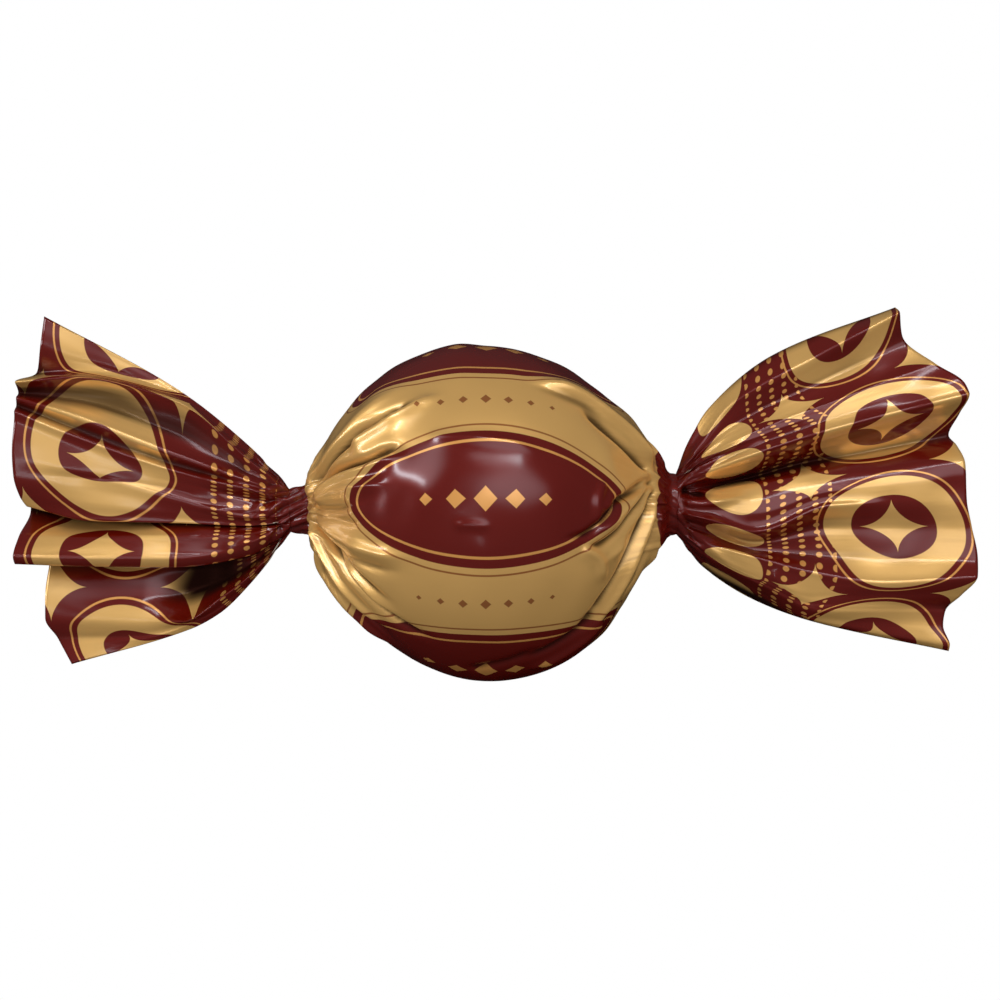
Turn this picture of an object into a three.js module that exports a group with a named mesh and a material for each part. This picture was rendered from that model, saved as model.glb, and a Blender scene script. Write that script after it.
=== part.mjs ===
// A chocolate truffle in a twist wrapper of printed film, in millimetres, +Z up.
// The wrapper is shut, so the truffle and its film are one solid: a ball, a gathered and twisted neck at
// each side of it, and a ruffled tail that fans out of each neck. It lies with its printed face up.
// The origin is the middle of the small flat spot that it rests on, under the ball's centre.
// +X runs from the left tail to the right tail, and +Y towards the top corners of both tails.
//
// The whole surface is a loft of closed rings along X. Every ring starts at the top (+Y), runs over the
// printed face (+Z) to the bottom (-Y), and comes back under the piece. A ring is a circle on the ball, a
// lobed bundle in a neck, and a flat ruffled loop in a tail.
import * as THREE from "three";

// Driving dimensions.
const BALL_RADIUS = 18.4; // the truffle with its film
const REST_DEPTH = 0.8; // how far the underside is pressed flat
const CENTRE_HEIGHT = BALL_RADIUS - REST_DEPTH; // of the ball and both necks above the surface
const FACE_POINTS = 34; // points of a ring on the printed face, and as many on the back
const RING_POINTS = 2 * FACE_POINTS;
const ARC_RINGS = 15; // rings on the part of the ball that the film hugs
const SHOULDER_RINGS = 6; // rings on each slope between the ball and a neck
const SHOULDER_X = 12.5; // where the film leaves the ball
const TAIL_STATIONS = [0.04, 0.09, 0.15, 0.22, 0.3, 0.4, 0.54, 0.7, 0.85, 1]; // shares of a tail's length
const NECK_LOBES = 9; // bunched pleats round each neck
const NECK_LOBE_DEPTH = 0.12; // share of the neck's radius
const NECK_TURN = 0.5; // radians that the lobes turn for each millimetre of neck
const NECK_FADE = 6; // how far the lobes reach up the ball from the neck
const FOLD_DEPTH = 2.2; // mean distance between the two layers of a fanned tail
const LEAST_DEPTH = 1.4; // least distance between them
const BACK_FOLDS = 3.5; // ruffles across the hidden layer of a tail
const BACK_SET_IN = 0.5; // how much shorter the hidden layer is
const MOUTH_SHARE = 0.86; // where the gap between the two layers ends, as a share of a tail's length
const RIM_SHARE = 0.27; // share of a tail's depth that each layer takes up at the mouth

// Necks: the thinnest place of each gathered end, how steeply the film leaves the ball for it, and how
// far it runs before the tail opens.
const LEFT_NECK = { side: -1, x: 19.5, y: 0.2, radius: 2.6, reach: 4, length: 2 };
const RIGHT_NECK = { side: 1, x: 19.9, y: 1.0, radius: 3.6, reach: 2.6, length: 0.9 };

// Ridges of film that run up the ball from a neck: the angle about X that each leaves the neck at and the
// angle it reaches, in degrees from the middle of the printed face towards the top, then its height, its
// half width and its length in millimetres.
const LEFT_RIDGES = [
  [96, 88, 1.5, 5.0, 30],
  [66, 58, 1.0, 1.6, 24],
  [34, 27, 0.8, 1.5, 17],
  [2, 4, 0.6, 1.5, 15],
  [-12, -68, 0.9, 1.6, 25],
  [-56, -86, 0.5, 1.7, 19],
  [-100, -116, 0.4, 2.2, 16],
  [-140, -146, 0.9, 2.3, 18],
  [176, 178, 0.8, 2.3, 15],
  [134, 128, 0.9, 2.3, 18],
];
const RIGHT_RIDGES = [
  [84, 76, 0.7, 3.2, 16],
  [36, 60, 1.0, 1.7, 20],
  [20, 8, 0.7, 1.4, 15],
  [16, -24, 0.9, 1.5, 21],
  [-10, -52, 0.9, 1.6, 23],
  [-44, -72, 0.5, 1.7, 17],
  [-84, -104, 0.4, 2.1, 15],
  [-136, -142, 0.9, 2.3, 17],
  [172, 174, 0.8, 2.3, 15],
  [128, 126, 0.9, 2.3, 18],
];

// Tails: the open end of the shown face from its top corner to its bottom corner, as x, y and height over
// the neck's middle, where the film stands up in ridges and drops between them; then how each border opens
// out of the neck, as the share that opens early, how early, and the length of the waist.
const LEFT_TAIL = {
  neck: LEFT_NECK,
  end: [
    [-48.8, 21.75, -1.0],
    [-49.1, 18.3, -0.4],
    [-49.7, 15.5, -1.8],
    [-51.25, 15.1, 2.0],
    [-51.5, 14.0, 2.9],
    [-51.5, 12.7, 1.4],
    [-51.45, 11.2, 2.7],
    [-51.6, 5.35, 3.0],
    [-51.4, 2.4, 2.1],
    [-50.4, 1.0, 0.0],
    [-50.5, 0.2, -1.1],
    [-51.2, -2.8, 1.5],
    [-51.6, -4.95, 2.9],
    [-51.5, -5.55, 1.9],
    [-48.4, -5.65, -2.2],
    [-48.7, -8.9, -1.0],
    [-48.7, -11.6, -0.7],
    [-48.2, -13.5, -1.6],
    [-47.0, -14.0, -1.8],
    [-46.3, -15.2, -1.6],
    [-45.8, -16.7, -1.2],
  ],
  top: { early: 0.17, power: 8, waist: 0.15 },
  bottom: { early: 0.63, power: 4, waist: 0.18 },
};
const RIGHT_TAIL = {
  neck: RIGHT_NECK,
  end: [
    [45.1, 22.7, -1.2],
    [45.1, 21.0, 0.9],
    [45.8, 19.4, 0.2],
    [47.1, 18.0, 0.5],
    [49.05, 16.5, 0.9],
    [51.15, 15.25, 1.9],
    [52.3, 14.05, 2.8],
    [52.65, 13.0, 2.7],
    [52.3, 11.7, 1.3],
    [51.35, 9.8, -1.0],
    [51.05, 8.6, -1.6],
    [51.8, 7.5, -0.6],
    [52.4, 6.2, 0.3],
    [52.65, 1.4, 1.5],
    [53.3, -1.8, 1.2],
    [53.85, -5.2, 2.0],
    [53.7, -6.6, 2.4],
    [52.1, -8.95, 1.2],
    [50.5, -10.9, -0.5],
    [50.3, -12.2, -0.2],
    [51.0, -14.4, -0.2],
    [51.0, -15.25, -1.0],
  ],
  top: { early: 0.53, power: 5, waist: 0.03 },
  bottom: { early: 0.59, power: 5, waist: 0.03 },
};

const smooth = (from, to, t) => THREE.MathUtils.smoothstep(t, from, to);
const mix = (a, b, t) => a + (b - a) * t;
const radians = THREE.MathUtils.degToRad;

// The angle about X of a ring's point, from the printed face towards the top.
const ringAngle = (i) => Math.PI * (0.5 - i / FACE_POINTS);

// How far an angle is from another, from -PI to PI.
function turnBetween(a, b) {
  return Math.atan2(Math.sin(a - b), Math.cos(a - b));
}

// A ridge's own cross-section, steeper on one side, as film that leans over does.
function ridgeShape(sideways) {
  const steepness = sideways > 0 ? 1 : 1.6;
  return Math.exp(-1.4 * Math.pow(Math.abs(sideways * steepness), 1.3));
}

// Height of the film's ridges at a place on the ball that is so far from the neck.
function ridgeHeight(ridges, along, angle, radius) {
  let height = 0;
  for (const [leaves, reaches, tall, halfWidth, length] of ridges) {
    const share = Math.min(along / length, 1);
    const turned = turnBetween(radians(reaches), radians(leaves)) * smooth(0, 0.6, share);
    const sideways = (turnBetween(angle, radians(leaves) + turned) * radius) / halfWidth;
    height += tall * smooth(0, 0.25, share) * (1 - smooth(0.4, 1, share)) * ridgeShape(sideways);
  }
  return height;
}

// Lobes of the bunched film round a neck, as a share of the radius there.
function lobes(neck, angle, far) {
  return NECK_LOBE_DEPTH * Math.cos(NECK_LOBES * (angle + NECK_TURN * (far - neck.x)));
}

// Places along one half of the wrapped ball, from its neck to its middle, as the distance from the middle,
// the outline's radius there and the way along the film from the neck.
function halfOutline(neck) {
  const touch = new THREE.Vector2(SHOULDER_X, Math.sqrt(BALL_RADIUS ** 2 - SHOULDER_X ** 2));
  const tangent = new THREE.Vector2(touch.y, -touch.x).normalize();
  const slope = new THREE.QuadraticBezierCurve(
    new THREE.Vector2(neck.x, neck.radius),
    touch.clone().addScaledVector(tangent, neck.reach * 1.4),
    touch,
  );
  const points = slope.getSpacedPoints(SHOULDER_RINGS);
  const first = touch.angle();
  const arcSteps = Math.floor(ARC_RINGS / 2);
  for (let i = 1; i <= arcSteps; i++) {
    const turn = mix(first, Math.PI / 2, i / arcSteps);
    points.push(new THREE.Vector2(BALL_RADIUS * Math.cos(turn), BALL_RADIUS * Math.sin(turn)));
  }
  let along = 0;
  return points.map((p, i) => {
    if (i > 0) along += p.distanceTo(points[i - 1]);
    return { far: p.x, outline: p.y, along };
  });
}

// One ring of the wrapped ball.
function ballRing(neck, ridges, { far, outline, along }) {
  const lift = neck.y * smooth(BALL_RADIUS * 0.6, neck.x, far);
  const ring = [];
  for (let i = 0; i < RING_POINTS; i++) {
    const angle = ringAngle(i);
    const bunch = lobes(neck, angle, far) * (1 - smooth(0, NECK_FADE, along)) * outline;
    const radius = outline + bunch + ridgeHeight(ridges, along, angle, outline);
    const z = CENTRE_HEIGHT + radius * Math.cos(angle);
    ring.push(new THREE.Vector3(neck.side * far, lift + radius * Math.sin(angle), Math.max(z, 0)));
  }
  return ring;
}

// How far a tail's border has opened at a share of its length.
function opened({ early, power, waist }, share) {
  const out = early * (1 - Math.pow(1 - share, power)) + (1 - early) * share;
  return out * smooth(0, waist, share);
}

// One ring of a tail. Its face runs from the bundle of the neck to the outline of the open end.
function tailRing(tail, share) {
  const { neck } = tail;
  const corners = tail.end.map((p) => new THREE.Vector3(...p));
  const openEnd = new THREE.CatmullRomCurve3(corners, false, "centripetal");
  const start = neck.x + neck.length;
  const rise = Math.pow(share, 0.8);
  const ring = new Array(RING_POINTS);
  for (let i = 0; i <= FACE_POINTS; i++) {
    const down = i / FACE_POINTS;
    const angle = ringAngle(i);
    const edge = openEnd.getPointAt(down);
    const open = mix(opened(tail.top, share), opened(tail.bottom, share), down);
    const bundle = neck.radius * (1 + lobes(neck, angle, start));
    const x = mix(neck.side * start, edge.x, share);
    const y = mix(neck.y + bundle * Math.sin(angle), edge.y, open);
    const faceZ = mix(bundle * Math.cos(angle), edge.z, rise);
    ring[i] = new THREE.Vector3(x, y, CENTRE_HEIGHT + faceZ);
    if (i === 0 || i === FACE_POINTS) continue;
    const ruffle = 1 + 0.6 * Math.cos(2 * Math.PI * BACK_FOLDS * down);
    const flat = edge.z * 0.3 - FOLD_DEPTH * Math.sin(Math.PI * down) * ruffle;
    const backZ = Math.min(mix(-bundle * Math.cos(angle), flat, rise), faceZ - LEAST_DEPTH);
    const setIn = -neck.side * BACK_SET_IN * share;
    ring[RING_POINTS - i] = new THREE.Vector3(x + setIn, y, CENTRE_HEIGHT + backZ);
  }
  return ring;
}

// The rings of a whole half, from the open end of its tail to the middle of the ball.
function halfRings(tail, ridges) {
  const { neck } = tail;
  const rings = TAIL_STATIONS.map((share) => tailRing(tail, share)).reverse();
  rings.push(tailRing(tail, 0));
  const waist = { far: neck.x + neck.length / 2, outline: neck.radius * 0.92, along: 0 };
  rings.push(ballRing(neck, ridges, waist));
  halfOutline(neck).forEach((place) => rings.push(ballRing(neck, ridges, place)));
  return rings;
}

// The gap between the two layers at a tail's open end: the inner edges of both rims, and the gap's floor,
// all from the top corner to the bottom corner.
function mouth(tail) {
  const between = (ring, i, share) => ring[i].clone().lerp(ring[(RING_POINTS - i) % RING_POINTS], share);
  const end = tailRing(tail, 1);
  const floor = tailRing(tail, MOUTH_SHARE);
  const rows = { front: [], floor: [], back: [] };
  for (let i = 1; i < FACE_POINTS; i++) {
    rows.front.push(between(end, i, RIM_SHARE));
    rows.floor.push(between(floor, i, 0.5));
    rows.back.push(between(end, i, 1 - RIM_SHARE));
  }
  return rows;
}

// Collects points and triangles of one closed surface.
class Surface {
  positions = [];
  faces = [];

  add(points) {
    const first = this.positions.length / 3;
    points.forEach((p) => this.positions.push(p.x, p.y, p.z));
    return points.map((_, i) => first + i);
  }

  // Skins two rows of as many points; turned swaps the side that faces out.
  strip(a, b, turned) {
    for (let i = 0; i + 1 < a.length; i++) {
      const quad = [a[i], a[i + 1], b[i + 1], b[i]];
      if (turned) quad.reverse();
      this.triangle(quad[0], quad[1], quad[2]);
      this.triangle(quad[0], quad[2], quad[3]);
    }
  }

  triangle(a, b, c) {
    if (a !== b && b !== c && c !== a) this.faces.push(a, b, c);
  }

  geometry() {
    const geometry = new THREE.BufferGeometry();
    geometry.setAttribute("position", new THREE.Float32BufferAttribute(this.positions, 3));
    geometry.setIndex(this.faces);
    geometry.computeVertexNormals();
    return geometry;
  }
}

// Closes a tail's open end with its two rims and the gap between them.
function closeEnd(surface, ring, tail) {
  const turned = tail.neck.side > 0;
  const corners = [ring[0], ring[FACE_POINTS]];
  const rows = mouth(tail);
  const row = (points) => [corners[0], ...surface.add(points), corners[1]];
  const back = [ring[0], ...ring.slice(FACE_POINTS).reverse()];
  const across = [ring.slice(0, FACE_POINTS + 1), row(rows.front), row(rows.floor), row(rows.back), back];
  for (let i = 0; i + 1 < across.length; i++) surface.strip(across[i], across[i + 1], !turned);
}

const surface = new Surface();
const leftHalf = halfRings(LEFT_TAIL, LEFT_RIDGES);
const rightHalf = halfRings(RIGHT_TAIL, RIGHT_RIDGES);
const rings = [...leftHalf, ...rightHalf.reverse().slice(1)].map((ring) => surface.add(ring));
for (let i = 0; i + 1 < rings.length; i++)
  surface.strip([...rings[i], rings[i][0]], [...rings[i + 1], rings[i + 1][0]], false);
closeEnd(surface, rings[0], LEFT_TAIL);
closeEnd(surface, rings[rings.length - 1], RIGHT_TAIL);

const film = new THREE.MeshStandardMaterial({ color: 0xb8924e, roughness: 0.28, metalness: 0.9 });
const wrapped = new THREE.Mesh(surface.geometry(), film);
wrapped.name = "wrapped_truffle";

const truffle = new THREE.Group();
truffle.add(wrapped);

export default truffle;
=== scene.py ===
# A chocolate truffle shut in a twist wrapper of printed metallised film, seen from straight above.
# Sizes below are in millimetres, and MM turns them into metres. +X runs from the left tail to the
# right tail, +Z out of the printed face.
import math

import bmesh
import bpy
import numpy as np
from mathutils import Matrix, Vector


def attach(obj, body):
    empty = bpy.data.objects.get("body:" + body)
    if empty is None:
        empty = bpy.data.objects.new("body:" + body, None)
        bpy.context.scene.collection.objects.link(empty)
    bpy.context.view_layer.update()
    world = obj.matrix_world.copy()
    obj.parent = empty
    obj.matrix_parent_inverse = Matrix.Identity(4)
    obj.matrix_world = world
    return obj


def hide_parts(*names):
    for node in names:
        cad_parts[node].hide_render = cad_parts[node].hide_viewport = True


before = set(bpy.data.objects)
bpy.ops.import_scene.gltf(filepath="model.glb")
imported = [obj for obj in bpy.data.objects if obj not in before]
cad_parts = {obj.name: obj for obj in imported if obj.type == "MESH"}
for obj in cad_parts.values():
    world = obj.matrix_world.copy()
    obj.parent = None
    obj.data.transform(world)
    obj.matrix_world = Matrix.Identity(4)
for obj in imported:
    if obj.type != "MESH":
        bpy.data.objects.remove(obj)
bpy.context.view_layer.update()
MM = 0.001

# --- Camera -------------------------------------------------------------------------------------------
# The photograph looks straight down on the sweet from about three lengths away, so both tails lie flat
# in the picture, and the picture is 110 mm across at the height of the ball's centre.
CENTRE_HEIGHT = 17.6  # of the ball and of both necks over the surface
VIEW_WIDTH = 110.0
VIEW_MIDDLE = (1.49, 1.43)  # x and y in the middle of the picture
LENS = 100.0
SENSOR = 36.0
VIEW_DISTANCE = VIEW_WIDTH * LENS / SENSOR

camera_data = bpy.data.cameras.new("camera")
camera_data.lens = LENS
camera_data.sensor_width = SENSOR
camera_data.sensor_fit = "HORIZONTAL"
camera_data.clip_start = 0.01
camera_data.clip_end = 20.0
camera = bpy.data.objects.new("camera", camera_data)
camera.location = Vector((*VIEW_MIDDLE, CENTRE_HEIGHT + VIEW_DISTANCE)) * MM
bpy.context.scene.collection.objects.link(camera)
bpy.context.scene.camera = camera
bpy.context.scene.view_settings.view_transform = "Standard"

# --- Light --------------------------------------------------------------------------------------------
# The sweet is cut out on white and lit softly from above by wide panels. Its film mirrors none of them,
# but a dark room with a few soft glows, and four strip lights that draw the streaks along the folds.
WHITE = (1.0, 1.0, 1.0)
FILL_LIGHT = 0.32  # brightness of the light that comes from all sides
LAMP_COLOR = (0.92, 1.0, 1.08)
ROOM_TOWARD = (-0.15, 0.45, 0.88)  # where the mirrored room is brightest
ROOM_STOPS = [(0, 0.0), (0.2, 0.03), (0.45, 0.1), (0.7, 0.13), (1, 0.16)]  # its brightness up to there
ROOM_GLOWS = [
    # direction, half width and half height in degrees, and brightness of each soft glow in the room
    ((0.24, 0.32, 0.92), (32, 18), 1.6),
    ((-0.62, 0.48, 0.55), (18, 18), 1.8),
    ((-0.17, 0.05, 0.98), (11, 9), 0.4),
]
BOX_DISTANCE = 700  # from the middle of the ball
SOFT_BOXES = [
    # name, direction from the sweet, width and height in millimetres, brightness, whether it is mirrored
    ("top_strip", (0.14, 0.62, 0.77), (360, 45), 13.0, True),
    ("left_strip", (-0.76, 0.40, 0.50), (50, 260), 15.0, True),
    ("low_left_strip", (-0.95, 0.12, 0.28), (50, 200), 14.0, True),
    ("front_strip", (-0.20, -0.15, 0.97), (240, 24), 6.0, True),
    ("overhead_panel", (0.0, 0.22, 0.98), (1500, 1500), 0.93, False),
    ("back_panel", (0.0, 0.95, 0.3), (1200, 500), 0.65, False),
    ("left_panel", (-0.95, 0.1, 0.3), (800, 500), 0.65, False),
    ("right_panel", (0.95, 0.1, 0.3), (800, 500), 0.65, False),
]


class Wire:
    """A shader socket that takes part in Python expressions and adds the nodes they need."""

    def __init__(self, tree, socket=None):
        self.tree = tree
        self.socket = socket

    def node(self, kind, settings=None, inputs=None, output=0):
        """A new node's output: its settings are made first, then its inputs get their values or links."""
        node = self.tree.nodes.new(kind)
        for key, value in (settings or {}).items():
            if key == "stops":
                node.color_ramp.elements.remove(node.color_ramp.elements[1])
                for k, (place, level) in enumerate(value):
                    elements = node.color_ramp.elements
                    stop = elements[0] if k == 0 else elements.new(place)
                    stop.position = place
                    stop.color = (level, level, level, 1)
            else:
                setattr(node, key, value)
        for key, value in (inputs or {}).items():
            if isinstance(value, Wire):
                self.tree.links.new(value.socket, node.inputs[key])
            else:
                node.inputs[key].default_value = value
        return Wire(self.tree, node.outputs[output])

    def other(self, output):
        """Another output of the node that this socket belongs to."""
        return Wire(self.tree, self.socket.node.outputs[output])

    def math(self, operation, *others):
        return self.node("ShaderNodeMath", {"operation": operation}, dict(enumerate([self, *others])))

    def __add__(self, other):
        return self.math("ADD", other)

    __radd__ = __add__

    def __sub__(self, other):
        return self.math("SUBTRACT", other)

    def __rsub__(self, other):
        return self * -1 + other

    def __mul__(self, other):
        return self.math("MULTIPLY", other)

    __rmul__ = __mul__

    def __truediv__(self, other):
        return self.math("DIVIDE", other)

    def __pow__(self, other):
        return self.math("POWER", other)

    def __abs__(self):
        return self.math("ABSOLUTE")

    def most(self, other):
        return self.math("MAXIMUM", other)

    def fade(self, low, high, top=1.0):
        """Smoothly from nothing to a top value between two values of this one."""
        ends = {"Value": self, "From Min": low, "From Max": high, "To Max": top}
        return self.node("ShaderNodeMapRange", {"interpolation_type": "SMOOTHSTEP"}, ends)

    def choose(self, color, other):
        """One colour where this value is 0, the other where it is 1."""
        inputs = {0: self}
        for socket, value in ((6, color), (7, other)):  # a Mix node's two colour sockets
            inputs[socket] = value if isinstance(value, Wire) else (*value, 1)
        return self.node("ShaderNodeMix", {"data_type": "RGBA"}, inputs, output=2)

    def feed(self, shader, name):
        self.tree.links.new(self.socket, shader.inputs[name])


for name, toward, (wide, high), brightness, in_film in SOFT_BOXES:
    box_light = bpy.data.lights.new(name, "AREA")
    box_light.shape = "RECTANGLE"
    box_light.size = wide * MM
    box_light.size_y = high * MM
    box_light.energy = brightness * wide * high * MM**2 * math.pi
    box_light.color = LAMP_COLOR if in_film else WHITE
    soft_box = bpy.data.objects.new(name, box_light)
    toward = Vector(toward).normalized()
    soft_box.location = (Vector((0, 0, CENTRE_HEIGHT)) + toward * BOX_DISTANCE) * MM
    soft_box.rotation_euler = toward.to_track_quat("Z", "Y").to_euler()
    soft_box.visible_camera = False
    soft_box.visible_glossy = in_film
    bpy.context.scene.collection.objects.link(soft_box)

world = bpy.data.worlds.new("studio")
world.use_nodes = True
room = Wire(world.node_tree)
direction = room.node("ShaderNodeTexCoord", output="Generated")


def facing(toward):
    """How nearly a direction agrees with another, from -1 to 1."""
    toward = Vector(toward).normalized()
    return room.node("ShaderNodeVectorMath", {"operation": "DOT_PRODUCT"}, {0: direction, 1: toward}, 1)


mirrored = room.node("ShaderNodeValToRGB", {"stops": ROOM_STOPS}, {0: facing(ROOM_TOWARD) * 0.5 + 0.5})
for toward, (half_wide, half_high), brightness in ROOM_GLOWS:
    toward = Vector(toward).normalized()
    sideways = Vector((0, 1, 0)).cross(toward).normalized()
    across = facing(sideways) / math.sin(math.radians(half_wide))
    along = facing(toward.cross(sideways)) / math.sin(math.radians(half_high))
    glow = (across**2 + along**2).fade(1, 0, brightness)
    on_near_side = facing(toward).fade(0, 0.2)  # the oval would show on the opposite side too
    mirrored = mirrored + glow * on_near_side
in_mirror = room.node("ShaderNodeLightPath", output="Is Glossy Ray")
on_surface = in_mirror.other("Is Diffuse Ray")
background = world.node_tree.nodes["Background"]
in_mirror.choose(WHITE, LAMP_COLOR).feed(background, "Color")
((mirrored - 1) * in_mirror + on_surface * (FILL_LIGHT - 1) + 1).feed(background, "Strength")
world.cycles.sampling_method = "NONE"  # the soft light and the mirrored room can't share one light map
bpy.context.scene.world = world

# --- Floor --------------------------------------------------------------------------------------------
# A plain pale floor, as even and as white as the picture's ground. It neither lights the sweet nor shades
# it, the film doesn't mirror it, and from below it is clear, so the underside can be looked at too.
FLOOR_RADIUS = 1600
floor_bm = bmesh.new()
bmesh.ops.create_circle(floor_bm, cap_ends=True, segments=96, radius=FLOOR_RADIUS * MM)
floor_mesh = bpy.data.meshes.new("floor")
floor_bm.to_mesh(floor_mesh)
floor_bm.free()
floor = bpy.data.objects.new("floor", floor_mesh)
floor.visible_diffuse = False
floor.visible_glossy = False
floor.visible_shadow = False
bpy.context.scene.collection.objects.link(floor)
floor_paint = bpy.data.materials.new("pale_floor")
floor_paint.use_nodes = True
floor_shader = floor_paint.node_tree.nodes["Principled BSDF"]
floor_shader.inputs["Base Color"].default_value = (0, 0, 0, 1)
floor_shader.inputs["Specular IOR Level"].default_value = 0.0
floor_shader.inputs["Emission Color"].default_value = (*WHITE, 1)
floor_shader.inputs["Emission Strength"].default_value = 1.0
from_below = Wire(floor_paint.node_tree).node("ShaderNodeNewGeometry", output="Backfacing")
(1 - from_below).feed(floor_shader, "Alpha")
floor_mesh.materials.append(floor_paint)

# --- Printed film -------------------------------------------------------------------------------------
# The wrapper is one square sheet of metallised plastic. Its gold is a lacquered metal and its burgundy an
# opaque ink, both under one clear gloss. It is printed flat, u along the sweet and v round it: ovals over
# the ball, rings and stars on the tails, and rows of pin dots next to the necks.
SHEET = 123.0  # side of the flat sheet
BALL_RADIUS = 18.4  # of the truffle with its film
GIRTH = 2 * math.pi * BALL_RADIUS
GOLD = (0.82, 0.46, 0.138)
BURGUNDY = (0.12, 0.0045, 0.0012)
ORANGE = (0.80, 0.36, 0.09)
RUST = (0.36, 0.12, 0.03)
FOLD_SHADE_COLOR = (0.02, 0.006, 0.004)  # painted shade, where the film is folded in on itself and light hardly reaches
GOLD_METAL, INK_METAL = 0.6, 0.35  # how far each is a metal
OVAL_ROW = GIRTH / 5  # of the ovals round the ball
FIRST_OVAL = 1.6  # how far above the middle of the shown face one of them lies
RING_ROW = GIRTH / 6  # of the rings round the tails
# From the middle of the sheet to the lines of rings, to the bands of pin dots, to the edges of the tails'
# burgundy ground, and to the row of petals beside the right neck.
LEFT_RINGS, RIGHT_RINGS = 51.3, 52.6
LEFT_PINS, RIGHT_PINS = 34.6, 41.8
LEFT_GROUND, RIGHT_GROUND = 26.8, 23.4
PETALS = 34.2
STARS_BESIDE = 9.4  # from the line of rings to the stars at both sides of it
STAR_HOLLOW = 0.62  # power of a star's outline: its sides are straight at 1, and hollow below that
PIN_PITCH = (1.9, 1.3)
PIN_RADIUS = 0.36
PIN_BAND = 3.9  # half the width of a band of pin dots
RELIEF = 0.14  # depth of the pulls
CRINKLE = 0.3  # of that, depth of the crinkle
PULLS_BEGIN, PULLS_FULL = 5, 22  # from the sheet's middle, where the pulls grow on the way to the necks
PULLS_WANE, PULLS_FAINT = 28, 44  # and where they fade again in the tails


def nearest(value, pitch, offset=0.0):
    """Distance to the nearest of evenly pitched lines, one of them at the offset."""
    turns = (value - offset) / pitch
    return (turns - turns.math("ROUND")) * pitch


def inside(distance, edge=0.05):
    """1 where a distance in millimetres is below zero, with a thin soft edge."""
    return distance.fade(edge, -edge)


def line(distance, away, width):
    """1 along a line that runs at some distance outside a shape."""
    return inside(abs(distance - away) - width / 2)


def oval(u, v, half_u, half_v):
    """Distance in millimetres outside an oval, below zero inside it."""
    reach = ((u / half_u) ** 2 + (v / half_v) ** 2) ** 0.5
    slope = ((u / half_u**2) ** 2 + (v / half_v**2) ** 2) ** 0.5
    return (reach - 1) * reach / slope.most(0.0001)  # never divided by zero


def star(u, v, half_u, half_v):
    """1 inside a four-pointed star with hollow sides."""
    beyond = (abs(u) / half_u) ** STAR_HOLLOW + (abs(v) / half_v) ** STAR_HOLLOW - 1
    return inside(beyond * min(half_u, half_v))


def lozenges(u, row, pitch, size, taper, last):
    """1 inside a line of lozenges along the ball, smaller away from its middle, up to the last one."""
    far = abs(u)
    return inside(abs(nearest(u, pitch)) + abs(row) - (size - far * taper)) * inside(far - last)


def film_material(name, roughness):
    """A new material with the clear gloss of the film, and its shader."""
    material = bpy.data.materials.new(name)
    material.use_nodes = True
    shader = material.node_tree.nodes["Principled BSDF"]
    shader.inputs["Roughness"].default_value = roughness
    shader.inputs["Specular IOR Level"].default_value = 0.0
    shader.inputs["Coat Weight"].default_value = 1.0
    shader.inputs["Coat Roughness"].default_value = 0.17
    shader.inputs["Coat IOR"].default_value = 1.55
    return material, shader


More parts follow.
